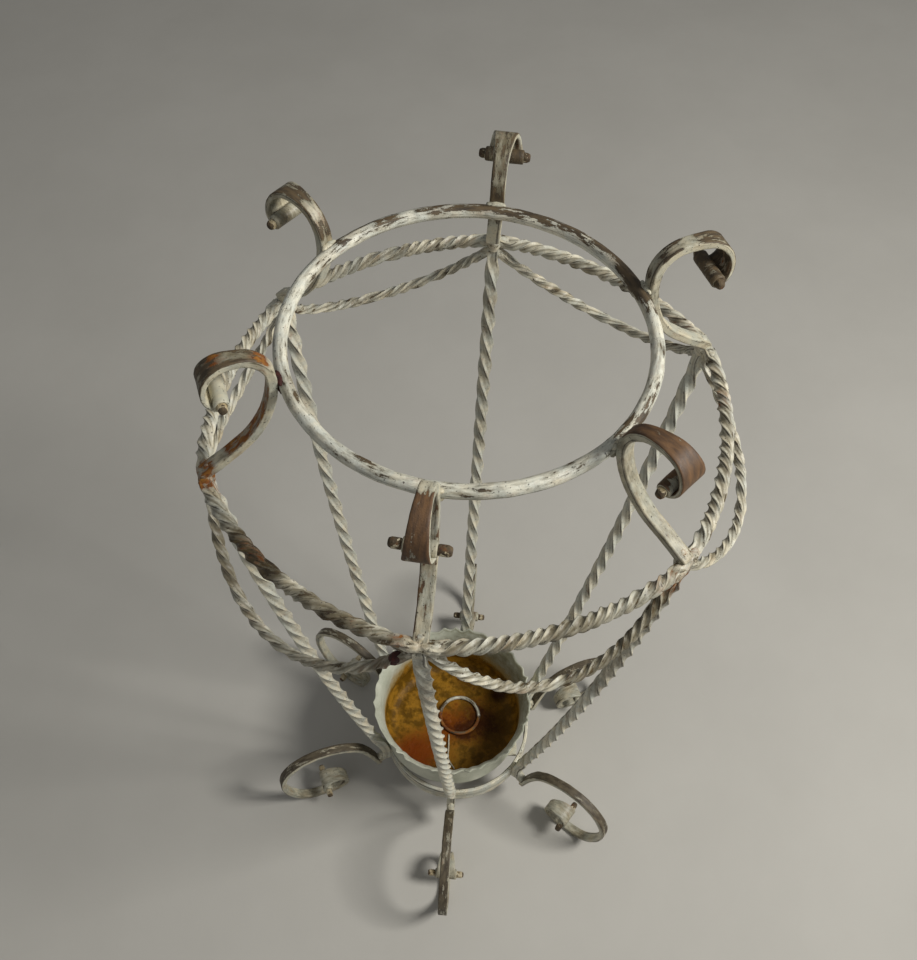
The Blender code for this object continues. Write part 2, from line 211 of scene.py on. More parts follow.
def flat(node, spacing):
    """A flat bar with a rolled end: its wide axis runs across its post, its thin one out of its curl."""
    rings = traced_rings(node)
    if np.ptp(rings[0], axis=0).sum() > np.ptp(rings[-1], axis=0).sum():
        rings = rings[::-1]
    centres = rings.mean(axis=1)
    known = distances(centres)
    wanted = np.linspace(0.0, known[-1], round(known[-1] / spacing) + 1)
    offsets = rings - centres[:, None]
    halves = (offsets[:, :1] + offsets[:, 1:]) / 2
    order = np.argsort(np.linalg.norm(halves, axis=2), axis=1)
    rows = np.arange(len(rings))
    across = np.cross(UP, outward_at(centres))
    wide = halves[rows, order[:, 2]]
    wide = wide * np.sign(dot(wide, across))
    thin = halves[rows, order[:, 1]]
    thin = thin * np.sign(dot(thin, np.cross(tangents(centres), across)))
    half_a = smoothly(np.linalg.norm(wide, axis=1), known, wanted)
    half_b = smoothly(np.linalg.norm(thin, axis=1), known, wanted)
    axis_a = unit(smoothly(unit(wide), known, wanted))
    axis_b = smoothly(unit(thin), known, wanted)
    axis_b = unit(axis_b - axis_a * dot(axis_b, axis_a))
    return Bar(smoothly(centres, known, wanted), axis_a, axis_b, half_a, half_b)


def hoop_bar(radius, height, half_a, half_b, stations, centre):
    """A bar bent to a level circle: axis a points outward and axis b up."""
    azimuth = np.arange(stations) * math.tau / stations
    outward = np.stack((np.cos(azimuth), np.sin(azimuth), 0 * azimuth), axis=1)
    middle = outward * radius + np.array((*centre, height))
    size = np.ones(stations)
    return Bar(middle, outward, np.tile(UP, (stations, 1)), size * half_a, size * half_b, True)


def section(half_a, half_b, corner, hollow):
    """Points round a rectangle with rounded corners, a row for each station.

    Also, the same at every station: which way each point faces, how near it is to a corner, and, beside
    a corner, which way the face beyond it looks.
    """
    signs = ((1, 1), (-1, 1), (-1, -1), (1, -1))
    arcs = []
    for k, (sign_a, sign_b) in enumerate(signs):
        arc = []
        for degrees in CORNER_ARC:
            angle = math.radians(90.0 * k + degrees)
            a = sign_a * (half_a - corner) + corner * math.cos(angle)
            b = sign_b * (half_b - corner) + corner * math.sin(angle)
            arc.append((np.stack((a, b), axis=1), (math.cos(angle), math.sin(angle))))
        arcs.append(arc)
    points, facing, edge, beyond = [], [], [], []
    for k, arc in enumerate(arcs):
        for (point, direction), nearness in zip(arc, (0.8, 1.0, 0.8)):
            points.append(point)
            facing.append(direction)
            edge.append(nearness)
            beyond.append(direction)
        leaving, direction = arc[-1]
        arriving = arcs[(k + 1) % 4][0][0]
        for share in SIDE_STEPS:
            dip = (hollow * (1 - (2 * share - 1) ** 2))[:, None] * np.array(direction)
            points.append(leaving + (arriving - leaving) * share - dip)
            facing.append(direction)
            edge.append(0.25 * abs(2 * share - 1))
            if share == SIDE_STEPS[0]:
                beyond.append(arc[0][1])
            elif share == SIDE_STEPS[-1]:
                beyond.append(arcs[(k + 1) % 4][-1][1])
            else:
                beyond.append(direction)
    return np.stack(points, axis=1), np.array(facing), np.array(edge), np.array(beyond)


def bumps(points, scale, shift=0.0):
    """Smooth noise from -1 to 1 at each point."""
    flat_points = points.reshape(-1, 3) * scale + shift
    values = [noise.noise(Vector(point)) for point in flat_points]
    return np.array(values).reshape(points.shape[:-1])


def add_fields(mesh, fields):
    for name, values in fields.items():
        kind, key = ("FLOAT_VECTOR", "vector") if values.ndim == 2 else ("FLOAT", "value")
        attribute = mesh.attributes.new(name, kind, "POINT")
        attribute.data.foreach_set(key, values.astype(np.float32).ravel())


def add_piece(name, mesh, look, body, stands_for=()):
    form = bmesh.new()
    form.from_mesh(mesh)
    bmesh.ops.recalc_face_normals(form, faces=form.faces)
    form.to_mesh(mesh)
    form.free()
    mesh.shade_smooth()
    mesh.materials.append(look)
    piece = bpy.data.objects.new(name, mesh)
    bpy.context.scene.collection.objects.link(piece)
    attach(piece, body)
    if stands_for:
        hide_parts(*stands_for)
    return piece


def skin(name, rings, fields, closed):
    """A mesh over rings of points, closed into a loop or capped at both ends, with its fields."""
    stations, sides, _ = rings.shape
    points = rings.reshape(-1, 3)
    fields = {key: values.reshape(points.shape[0], *values.shape[2:]) for key, values in fields.items()}
    faces = []
    for i in range(stations if closed else stations - 1):
        here = i * sides
        there = (i + 1) % stations * sides
        for j in range(sides):
            k = (j + 1) % sides
            faces.append((here + j, here + k, there + k, there + j))
    if not closed:
        for end, inner in ((0, 1), (stations - 1, stations - 2)):
            middle = rings[end].mean(axis=0)
            rise = unit(middle - rings[inner].mean(axis=0)) * CAP_RISE
            lid = middle + (rings[end] - middle) * CAP_LID + rise
            base = len(points)
            points = np.concatenate((points, lid, [middle + rise * 1.3]))
            source = np.arange(end * sides, (end + 1) * sides)
            fields = {k: np.concatenate((v, v[source], v[source[:1]])) for k, v in fields.items()}
            for j in range(sides):
                k = (j + 1) % sides
                faces.append((end * sides + j, end * sides + k, base + k, base + j))
                faces.append((base + j, base + k, base + sides))
    mesh = bpy.data.meshes.new(name)
    mesh.from_pydata(points.tolist(), [], faces)
    add_fields(mesh, fields)
    return mesh


def within(shares, start, end, fade=0.03):
    """One between start and end, fading to zero outside."""
    rising = np.clip((shares - start) / fade + 0.5, 0, 1)
    falling = np.clip((end - shares) / fade + 0.5, 0, 1)
    return rising * falling


def swept(name, bar, corner, look, node="", body="stand", hollow=0.0, dent=DENT,
          worn=0.0, worn_ends=0.1, patches=()):
    """Skins a bar, dents it, and works out its fields. With a node, it takes that node's place."""
    stations = len(bar.centres)
    round_it, facing, edge, beyond = section(bar.half_a, bar.half_b, corner, np.full(stations, hollow))
    sides = len(edge)
    axis_a, axis_b = bar.axis_a[:, None], bar.axis_b[:, None]
    rings = bar.centres[:, None] + axis_a * round_it[..., :1] + axis_b * round_it[..., 1:]
    normal = axis_a * facing[:, :1] + axis_b * facing[:, 1:]
    # painted shade: how far each point beside a ridge faces away from the light, darkened in the material
    ridge_shade = (axis_a * beyond[:, :1] + axis_b * beyond[:, 1:] - normal) @ LIT_FROM
    depth = dent * (bumps(rings, DENT_SCALE) + 0.4 * bumps(rings, GRAIN_SCALE))
    along = distances(bar.centres)
    shares = np.repeat((along / along[-1])[:, None], sides, axis=1)
    fields = {
        "edge": np.tile(edge, (stations, 1)),
        "worn": np.full((stations, sides), worn),
        "rust": np.zeros((stations, sides)),
        "dirt_and_shade": np.zeros((stations, sides)),
        "ridge_shade": np.clip(ridge_shade * 1.3, 0, 1),
    }
    if not bar.closed:
        near_end = within(shares, -1, 0.02, 0.04) + within(shares, 0.98, 2, 0.04)
        fields["worn"] += worn_ends * near_end
    for patch in patches:
        weight = within(shares, patch.start, patch.end)
        if any(patch.facing):
            weight = weight * np.clip(facing @ np.array(patch.facing) * 1.6, 0, 1)
        for key in ("worn", "rust", "dirt_and_shade"):
            fields[key] += getattr(patch, key) * weight
    shift = sum(ord(letter) for letter in name) * 0.37
    place = np.concatenate((np.repeat((along + shift)[:, None, None], sides, axis=1), round_it), axis=2)
    fields["bar_space"] = place
    rings = rings + normal * depth[..., None]
    rings[..., 2] = np.maximum(rings[..., 2], 0.0)
    mesh = skin(name, rings, fields, bar.closed)
    return add_piece(name, mesh, look, body, (node,) if node else ())


# ---------------------------------------------------------------------------------------------------
# Materials
# ---------------------------------------------------------------------------------------------------


def colour(red, green, blue):
    """Linear light from the usual 0 to 255 screen values."""
    shares = (red / 255, green / 255, blue / 255)
    return tuple(c / 12.92 if c <= 0.04045 else ((c + 0.055) / 1.055) ** 2.4 for c in shares)


class Graph:
    """Writes a material's nodes as short expressions."""

    def __init__(self, name):
        self.material = bpy.data.materials.new(name)
        self.material.use_nodes = True
        self.tree = self.material.node_tree
        self.shader = self.tree.nodes["Principled BSDF"]

    def feed(self, socket, value):
        if isinstance(value, bpy.types.NodeSocket):
            self.tree.links.new(value, socket)
        elif socket.type == "RGBA":
            socket.default_value = (*value, 1.0)
        else:
            socket.default_value = value

    def node(self, kind, inputs, output=0, **settings):
        made = self.tree.nodes.new("ShaderNode" + kind)
        for key, value in settings.items():
            setattr(made, key, value)
        for key, value in inputs.items():
            self.feed(made.inputs[key], value)
        return made.outputs[output]

    def field(self, name):
        return self.node("Attribute", {}, 2, attribute_name=name)

    def place(self, stretch=(1.0, 1.0, 1.0)):
        at = self.node("Attribute", {}, 1, attribute_name="bar_space")
        return self.node("VectorMath", {0: at, 1: stretch}, operation="MULTIPLY")

    def math(self, operation, *values):
        return self.node("Math", dict(enumerate(values)), operation=operation)

    def total(self, *values):
        result = values[0]
        for value in values[1:]:
            result = self.math("ADD", result, value)
        return result

    def times(self, one, other):
        return self.math("MULTIPLY", one, other)

    def noise(self, at, scale, detail, gain):
        """Fractal noise about zero."""
        raw = self.node("TexNoise", {"Vector": at, "Scale": scale, "Detail": detail, "Roughness": 0.6})
        return self.times(self.math("SUBTRACT", raw, 0.5), gain)

    def step(self, value, low, high):
        """Zero below low, one above high, and smooth between."""
        inputs = {"Value": value, "From Min": low, "From Max": high}
        return self.node("MapRange", inputs, interpolation_type="SMOOTHSTEP")

    def mix(self, share, one, other):
        return self.node("Mix", {0: share, 6: one, 7: other}, 2, data_type="RGBA")

    def finish(self, base, roughness, height, depth, metallic=0.0):
        self.feed(self.shader.inputs["Base Color"], base)
        self.feed(self.shader.inputs["Roughness"], roughness)
        self.feed(self.shader.inputs["Metallic"], metallic)
        bump = self.node("Bump", {"Strength": 1.0, "Distance": depth, "Height": height})
        self.feed(self.shader.inputs["Normal"], bump)
        return self.material


CREAM = colour(206, 197, 170)
PALE_GREY = colour(182, 182, 166)
YELLOWED = colour(168, 150, 114)
SHADE_AND_DIRT = colour(94, 84, 60)
RIDGE_SHADE = colour(60, 50, 34)
SPECK = colour(34, 29, 24)
IRON = colour(98, 82, 58)
DARK_IRON = colour(62, 52, 38)
RUST = colour(122, 68, 16)
OCHRE = colour(170, 120, 44)
RED_RUST = colour(74, 34, 18)


def enamel(name, base_wear=0.0, face_shade_and_dirt=0.0, smudge=0.3, iron=IRON, dark_iron=DARK_IRON, streak=0.35,
           pale=PALE_GREY, cream=CREAM):
    """Off-white paint, chipped to worn iron and rust where the fields and the noise say so, and darkened
    with dirt and with painted shade.
    """
    g = Graph(name)
    at = g.place()
    streaked = g.place((streak, 1.0, 1.0))
    broad = g.noise(g.place((0.5, 1.0, 1.0)), 45.0, 2.0, 2.0)
    chips = g.noise(streaked, 260.0, 6.0, 2.2)
    fine = g.noise(at, 1100.0, 3.0, 1.6)
    tone = g.noise(at, 70.0, 4.0, 2.6)
    edge = g.field("edge")
    loss = g.total(
        g.field("worn"), base_wear, g.times(edge, 0.12), g.times(broad, 0.35), chips, g.times(fine, 0.25)
    )
    bare = g.step(loss, 0.50, 0.56)
    stained = g.step(loss, 0.14, 0.54)
    rusty = g.total(g.field("rust"), g.times(chips, -0.8), g.times(fine, 0.2), g.times(broad, 0.3))
    rust_film = g.step(rusty, 0.1, 0.5)
    rusty = g.step(rusty, 0.42, 0.56)
    paint = g.mix(g.step(tone, -0.4, 0.5), pale, cream)
    smudged = g.step(g.total(g.noise(streaked, 150.0, 5.0, 2.6), g.times(broad, 0.5)), -0.1, 0.9)
    paint = g.mix(g.times(smudged, smudge * 2), paint, YELLOWED)
    scratch = g.noise(streaked, 420.0, 4.0, 2.4)
    # darkening from the dirt field and noise: dirt, and painted shade where the field stands for shade
    grime_and_shade = g.total(g.field("dirt_and_shade"), g.times(scratch, 0.55), g.times(broad, 0.3))
    paint = g.mix(g.times(g.step(grime_and_shade, 0.0, 1.0), 0.85), paint, SHADE_AND_DIRT)
    # painted shade: a dark line on the side of each ridge away from the light, broken up by noise
    ridge_shaded = g.total(g.field("ridge_shade"), g.times(scratch, 0.5), g.times(broad, 0.3))
    paint = g.mix(g.times(g.step(ridge_shaded, 0.2, 0.75), 0.88), paint, RIDGE_SHADE)
    # darker middles of the hollow faces: painted shade together with dirt
    if face_shade_and_dirt:
        hollow = g.step(g.total(edge, g.times(fine, 0.04)), 0.13, 0.0)
        paint = g.mix(g.times(hollow, face_shade_and_dirt), paint, SHADE_AND_DIRT)
    paint = g.mix(g.times(stained, 0.5), paint, SHADE_AND_DIRT)
    specks = g.step(g.noise(at, 620.0, 1.0, 1.0), 0.175, 0.22)
    paint = g.mix(g.times(specks, 0.85), paint, SPECK)
    paint = g.mix(g.times(rust_film, 0.45), paint, RUST)
    metal = g.mix(g.step(g.noise(streaked, 300.0, 5.0, 2.4), -0.45, 0.45), dark_iron, iron)
    base = g.mix(bare, paint, metal)
    orange = g.mix(g.step(g.noise(at, 130.0, 5.0, 2.4), -0.2, 0.7), RUST, OCHRE)
    orange = g.mix(g.step(g.noise(at, 240.0, 4.0, 2.4), 0.1, 0.55), orange, RED_RUST)
    base = g.mix(rusty, base, orange)
    roughness = g.total(0.46, g.times(bare, 0.14), g.times(rusty, 0.25), g.times(fine, 0.2))
    height = g.total(g.times(bare, -0.8), g.times(rusty, 0.3), g.times(fine, 0.35), g.times(tone, 0.3))
    return g.finish(base, roughness, height, 0.00035)


def rusty_iron(name, paint_from, iron=IRON, dark_iron=DARK_IRON, bloom=RUST):
    """Bare iron: brown, with orange bloom and remains of paint where its noise passes paint_from."""
    g = Graph(name)
    at = g.place()
    metal = g.mix(g.step(g.noise(at, 260.0, 5.0, 2.4), -0.5, 0.5), dark_iron, iron)
    base = g.mix(g.step(g.total(g.noise(at, 190.0, 5.0, 2.6), g.field("rust")), 0.1, 0.7), metal, bloom)
    base = g.mix(g.step(g.noise(at, 340.0, 4.0, 2.4), 0.1, 0.5), base, RED_RUST)
    left = g.total(g.noise(at, 170.0, 5.0, 2.6), g.times(g.field("worn"), -1.0))
    paint = g.step(left, paint_from, paint_from + 0.08)
    base = g.mix(paint, base, g.mix(g.step(g.noise(at, 90.0, 4.0, 2.6), -0.4, 0.5), YELLOWED, CREAM))
    roughness = g.total(0.78, g.times(paint, -0.3))
    height = g.total(g.noise(at, 700.0, 5.0, 1.6), g.times(paint, 0.5))
    return g.finish(base, roughness, height, 0.0005)


PAN_PALE = colour(208, 208, 190)
PAN_GREY = colour(180, 183, 164)
PAN_GRIME_AND_SHADE = colour(104, 98, 66)
PAN_TAN = colour(164, 140, 84)
PAN_OCHRE = colour(154, 112, 34)
PAN_BROWN = colour(96, 68, 14)
PAN_RED = colour(118, 50, 4)
PAN_DARK = colour(50, 20, 3)
PAN_CHIP = colour(80, 58, 40)


def pan_finish(name):
    """Pale enamel outside and round the top, ochre to red-brown rust inside below a ragged line.

    Here "edge" says how red the rust is, and "worn" how dark; the dirt field darkens the enamel with grime
    and with painted shade.
    """
    g = Graph(name)
    at = g.place()
    broad = g.noise(at, 26.0, 5.0, 2.4)
    mid = g.noise(at, 95.0, 6.0, 2.4)
    fine = g.noise(at, 420.0, 4.0, 1.8)
    level = g.total(g.field("rust"), g.times(mid, 0.24), g.times(broad, 0.22))
    stain = g.step(level, 0.18, 0.62)
    crust = g.step(g.total(level, g.times(fine, 0.2)), 0.52, 0.74)
    wall = g.mix(g.step(broad, -0.5, 0.5), PAN_GREY, PAN_PALE)
    grime_and_shade = g.total(g.field("dirt_and_shade"), g.times(mid, 0.5), g.times(fine, 0.15))
    wall = g.mix(g.times(g.step(grime_and_shade, 0.1, 1.1), 0.85), wall, PAN_GRIME_AND_SHADE)
    ochre = g.step(g.total(mid, g.times(broad, 0.7)), -0.3, 0.35)
    rust = g.mix(ochre, PAN_BROWN, PAN_OCHRE)
    red = g.total(g.field("edge"), g.times(broad, 0.4), g.times(mid, 0.4))
    rust = g.mix(g.times(g.step(red, 0.15, 0.85), 0.9), rust, PAN_RED)
    dark = g.total(g.field("worn"), g.times(mid, 0.7), g.times(fine, 0.3))
    rust = g.mix(g.times(g.step(dark, 0.15, 0.9), 0.9), rust, PAN_DARK)
    base = g.mix(stain, wall, PAN_TAN)
    base = g.mix(crust, base, rust)
    chips = g.total(g.times(fine, 0.5), g.times(mid, 0.5), g.times(g.field("dirt_and_shade"), 0.2))
    chipped = g.times(g.step(chips, 0.52, 0.58), g.math("SUBTRACT", 1.0, crust))
    base = g.mix(chipped, base, PAN_CHIP)
    g.feed(g.shader.inputs["Specular IOR Level"], g.total(0.4, g.times(crust, -0.28)))
    roughness = g.total(0.5, g.times(crust, -0.1), g.times(fine, 0.25))
    height = g.total(g.times(crust, 0.6), g.times(fine, 0.6), g.times(mid, 0.7))
    return g.finish(base, roughness, height, 0.0006)


def floor_finish(name):
    g = Graph(name)
    at = g.node("TexCoord", {}, 3)
    cloud = g.noise(at, 3.0, 4.0, 1.0)
    base = g.mix(g.step(cloud, -0.3, 0.3), colour(182, 179, 171), colour(190, 187, 179))
    return g.finish(base, 0.85, g.noise(at, 40.0, 4.0, 1.0), 0.0003)


# Paler and brighter than the other enamels: painted light on the lit facets of the uprights; the middles of
# their faces get painted shade and dirt.
BAR_PAINT_WITH_PAINTED_LIGHT = enamel(
    "chipped_bar_enamel", base_wear=-0.05, face_shade_and_dirt=0.35, smudge=0.22,
    pale=colour(198, 200, 188), cream=colour(222, 214, 190),
)
# The belt and swag bars: dirtier, with dirt and painted shade in the middles of their faces.
HANGING_PAINT = enamel(
    "soiled_bar_enamel_with_painted_shade", base_wear=0.16, face_shade_and_dirt=0.65, smudge=0.45,
    iron=colour(96, 80, 50), dark_iron=colour(58, 46, 30),
    pale=colour(192, 192, 178), cream=colour(216, 208, 184),
)
# Paler and brighter: cleaner paint, and painted light on the ring.
RING_PAINT_WITH_PAINTED_LIGHT = enamel(
    "worn_ring_enamel", base_wear=0.08, smudge=0.3, streak=0.25,
    pale=colour(214, 216, 204), cream=colour(236, 231, 210),
)
SCROLL_PAINT = enamel("worn_scroll_enamel", base_wear=0.04, streak=0.3)
BROWN_SCROLL_PAINT = enamel(
    "brown_scroll_enamel", base_wear=0.02, streak=0.3, iron=colour(110, 80, 50), dark_iron=colour(74, 54, 36)
)
FOOT_PAINT = enamel("worn_foot_enamel", base_wear=-0.04, iron=colour(100, 90, 70), streak=0.3)
PLAIN_PAINT = enamel("plain_enamel")
PIN_RUST = rusty_iron("rusty_pin_iron", 0.14)
PIN_PAINT = rusty_iron("painted_pin_iron", -0.35)
BLISTER = rusty_iron("dark_rust_blister", 0.9, colour(70, 24, 16), colour(40, 12, 8), colour(96, 34, 22))
PAN_RUST = pan_finish("rusted_pan_enamel")


# ---------------------------------------------------------------------------------------------------
# Pieces
# ---------------------------------------------------------------------------------------------------

OUTER = (0.0, 1.0)
INNER = (0.0, -1.0)
RING_PATCHES = (
    Patch(0.04, 0.30, (0.35, 0.94), worn=0.5),
    Patch(0.30, 0.40, (0.35, 0.94), worn=0.25),
    Patch(0.04, 0.09, worn=0.3),
    Patch(0.89, 0.96, (0.35, 0.94), worn=0.3),
    Patch(0.84, 0.9, (0.35, 0.94), worn=0.12),
    Patch(0.34, 0.48, worn=0.1, dirt_and_shade=0.15),
    Patch(0.5, 1.0, worn=0.04, dirt_and_shade=0.2),
    Patch(0.62, 0.7, (0.0, 1.0), worn=0.1),
)
TWISTED_PATCHES = {
    "upright_front_right": (Patch(0.93, 1.0, rust=0.45, dirt_and_shade=0.4), Patch(0.55, 1.0, dirt_and_shade=0.5)),
    "upright_front_left": (Patch(0.95, 1.0, rust=0.4),),
    "upright_front": (Patch(0.8, 1.0, dirt_and_shade=0.4),),
    "upright_back": (Patch(0.6, 1.0, dirt_and_shade=0.35),),
    "belt_bar_front_left": (
        Patch(0.25, 0.5, worn=0.24, dirt_and_shade=0.5), Patch(0.0, 0.05, rust=0.5),
        Patch(0.6, 0.85, worn=0.12, dirt_and_shade=0.4), Patch(0.3, 0.42, rust=0.22),
        Patch(0.92, 1.0, rust=0.25, dirt_and_shade=0.3), Patch(0.08, 0.95, worn=0.06, dirt_and_shade=0.4),
    ),
    "belt_bar_front": (
        Patch(0.0, 1.0, worn=0.05, dirt_and_shade=0.35), Patch(0.42, 0.62, worn=0.08, dirt_and_shade=0.3),
        Patch(0.85, 1.0, rust=0.2),
    ),
    "belt_bar_front_right": (Patch(0.2, 0.7, dirt_and_shade=0.35), Patch(0.7, 0.8, rust=0.3)),
    "belt_bar_back_right": (Patch(0.3, 0.45, worn=0.3, dirt_and_shade=0.2), Patch(0.0, 0.3, rust=0.15)),
    "belt_bar_back": (Patch(0.05, 0.5, dirt_and_shade=0.25), Patch(0.1, 0.3, rust=0.12)),
    "swag_bar_front": (
        Patch(0.0, 0.5, dirt_and_shade=0.25), Patch(0.5, 0.97, worn=0.16, dirt_and_shade=0.7), Patch(0.93, 1.0, rust=0.4),
    ),
    "swag_bar_front_left": (
        Patch(0.1, 0.3, dirt_and_shade=0.4), Patch(0.0, 1.0, worn=0.04, dirt_and_shade=0.35),
        Patch(0.85, 1.0, dirt_and_shade=0.3, rust=0.15),
    ),
    "swag_bar_front_right": (Patch(0.0, 0.4, dirt_and_shade=0.2),),
}
SCROLL_PATCHES = {
    "front": (
        Patch(0.64, 0.95, OUTER, worn=0.85),
        Patch(0.0, 0.5, worn=0.24, dirt_and_shade=0.3),
        Patch(0.9, 1.0, dirt_and_shade=0.6),
        Patch(0.05, 0.6, (-1.0, 0.0), worn=0.35, dirt_and_shade=0.5),
    ),
    "front_right": (
        Patch(0.56, 0.97, OUTER, worn=0.9),
        Patch(0.78, 1.0, INNER, worn=0.5, dirt_and_shade=0.5),
        # painted shade: the scroll's lower part, darkened as if in shadow
        Patch(0.0, 0.55, dirt_and_shade=0.42),
        Patch(0.0, 0.06, worn=0.2),
        Patch(0.5, 0.8, (-1.0, 0.0), dirt_and_shade=0.35),
    ),
    "back_right": (
        Patch(0.56, 0.63, OUTER, worn=0.55),
        Patch(0.66, 0.95, OUTER, worn=0.52),
        Patch(0.88, 1.0, worn=0.5, dirt_and_shade=0.5),
        Patch(0.4, 0.52, worn=0.25, dirt_and_shade=0.3),
        Patch(0.5, 0.8, OUTER, dirt_and_shade=0.35),
        Patch(0.78, 1.0, INNER, worn=0.6, rust=0.3),
    ),
    "back": (
        Patch(0.5, 1.0, OUTER, worn=0.42, dirt_and_shade=0.7),
        Patch(0.4, 0.56, worn=0.3, dirt_and_shade=0.4),
        Patch(0.84, 1.0, worn=0.2, dirt_and_shade=0.5),
    ),
    "back_left": (
        Patch(0.64, 0.88, OUTER, worn=0.52),
        Patch(0.52, 0.59, OUTER, worn=0.5),
        Patch(0.4, 0.95, dirt_and_shade=0.4),
        Patch(0.86, 1.0, OUTER, dirt_and_shade=0.3),
    ),
    "front_left": (
        Patch(0.6, 0.9, OUTER, worn=0.5, dirt_and_shade=0.6),
        Patch(0.57, 0.63, OUTER, rust=0.5),
        Patch(0.9, 1.0, worn=-0.3),
        Patch(0.71, 0.75, OUTER, rust=0.55),
        Patch(0.12, 0.5, INNER, rust=0.5, dirt_and_shade=0.4),
        Patch(0.0, 0.06, rust=0.55),
        Patch(0.47, 0.52, OUTER, rust=0.5),
        Patch(0.4, 0.7, dirt_and_shade=0.2),
    ),
}
FOOT_PATCHES = (
    Patch(0.02, 0.62, OUTER, worn=0.75),
    Patch(0.0, 0.7, dirt_and_shade=0.2),
    Patch(0.62, 1.0, dirt_and_shade=0.45),
)


def build_scrolls_and_feet():
    for post in POSTS:
        bar = flat(f"scroll_bar_{post}", FLAT_SPACING)
        look = BROWN_SCROLL_PAINT if post in ("front", "front_right") else SCROLL_PAINT
        swept(f"painted_scroll_{post}", bar, FLAT_CORNER, look, f"scroll_bar_{post}",
              patches=SCROLL_PATCHES[post])
        bar = flat(f"foot_{post}", FLAT_SPACING)
        swept(f"painted_foot_{post}", bar, FLAT_CORNER, FOOT_PAINT, f"foot_{post}",
              patches=FOOT_PATCHES)


def lower_first(one, other):
    return one[2] < other[2]


def clockwise_first(one, other):
    one, other = one - AXIS, other - AXIS
    return one[0] * other[1] > one[1] * other[0]


def build_twisted_bars():
    for post in POSTS:
        for kind, spacing, rule in (
            ("upright", UPRIGHT_SPACING, lower_first),
            ("belt_bar", HANGING_SPACING, clockwise_first),
            ("swag_bar", HANGING_SPACING, clockwise_first),
        ):
            node = f"{kind}_{post}"
            hanging = kind != "upright"
            bar = twisted(node, spacing, rule, WOBBLE * hanging)
            side = 2 * bar.half_a[0]
            look = HANGING_PAINT if hanging else BAR_PAINT_WITH_PAINTED_LIGHT
            swept(f"painted_{node}", bar, TWIST_CORNER * side, look, node,
                  hollow=TWIST_HOLLOW * side, dent=HANGING_DENT if hanging else DENT,
                  patches=TWISTED_PATCHES.get(node, ()))


BARE_PINS = (
    "scroll_pin_front", "scroll_pin_back_right", "scroll_pin_back", "foot_pin_back", "foot_pin_front_right",
)
PIN_STATIONS = 22
PIN_CORNER = 0.8  # of its radius: nearly round
PIN_FLARE = 0.28  # by this share its ends, which show, are thicker than its middle
PIN_FLARE_FROM = 0.5
PIN_FLARE_OVER = 0.06
PIN_TAPER = 0.25  # and by this share its very tips are thinner again
PIN_TAPER_POWER = 24


def pin_bar(node):
    """A pin's stations, along the way in which its packed points spread most, and its radius."""
    points = np.array([v.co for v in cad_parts[node].data.vertices])
    middle = points.mean(axis=0)
    offsets = points - middle
    length_axis, first, _ = np.linalg.svd(offsets, full_matrices=False)[2]
    along = offsets @ length_axis
    half_length = np.abs(along).max()
    radius = np.linalg.norm(offsets - np.outer(along, length_axis), axis=1).max()
    shares = np.linspace(-1.0, 1.0, PIN_STATIONS)
    flare = np.clip((np.abs(shares) - PIN_FLARE_FROM) / PIN_FLARE_OVER, 0, 1)
    taper = np.abs(shares) ** PIN_TAPER_POWER
    size = radius * (1.0 + PIN_FLARE * flare - PIN_TAPER * taper)
    bar = Bar(
        middle + np.outer(shares * half_length, length_axis),
        np.tile(first, (PIN_STATIONS, 1)),
        np.tile(np.cross(length_axis, first), (PIN_STATIONS, 1)),
        size,
        size,
    )
    return bar, radius


def build_pins():
    for post in POSTS:
        for kind in ("scroll_pin", "foot_pin"):
            node = f"{kind}_{post}"
            bar, radius = pin_bar(node)
            look = PIN_RUST if node in BARE_PINS else PIN_PAINT
            swept(f"rusty_{node}", bar, PIN_CORNER * radius, look, node, worn_ends=0.6)


RING_STATIONS = 280
RING_CORNER = 0.42  # of its thickness: nearly round
HOOP_STATIONS = 240
HOOP_PATCHES = (
    # painted shade: the inward face, across the shaded gap from the pan's wall, is darkened; it is also a
    # little worn
    Patch(-1.0, 2.0, (-1.0, 0.0), worn=0.25, dirt_and_shade=1.2),
    Patch(-1.0, 2.0, (0.0, 1.0), worn=0.06),
)
REST_BAR_STATIONS = 100
REST_BAR_CORNER = 0.0008


def build_ring_and_hoop():
    low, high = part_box("top_ring")
    thick = (high.z - low.z) / math.cos(math.pi / 8)
    radius = (high.x - low.x) / 2 - (high.z - low.z) / 2
    bar = hoop_bar(radius, (low.z + high.z) / 2, thick / 2, thick / 2, RING_STATIONS, AXIS[:2])
    swept("painted_top_ring", bar, RING_CORNER * thick, RING_PAINT_WITH_PAINTED_LIGHT, "top_ring",
          patches=RING_PATCHES)
    low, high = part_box("pan_hoop")
    points = np.array([v.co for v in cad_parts["pan_hoop"].data.vertices])
    reach = np.linalg.norm(points[:, :2] - AXIS[:2], axis=1)
    half_wall = (reach.max() - reach.min()) / 2
    half_tall = (high.z - low.z) / 2
    bar = hoop_bar(reach.max() - half_wall, low.z + half_tall, half_wall, half_tall, HOOP_STATIONS, AXIS[:2])
    swept("painted_pan_hoop", bar, FLAT_CORNER, BAR_PAINT_WITH_PAINTED_LIGHT, "pan_hoop", dent=STRIP_DENT,
          patches=HOOP_PATCHES)


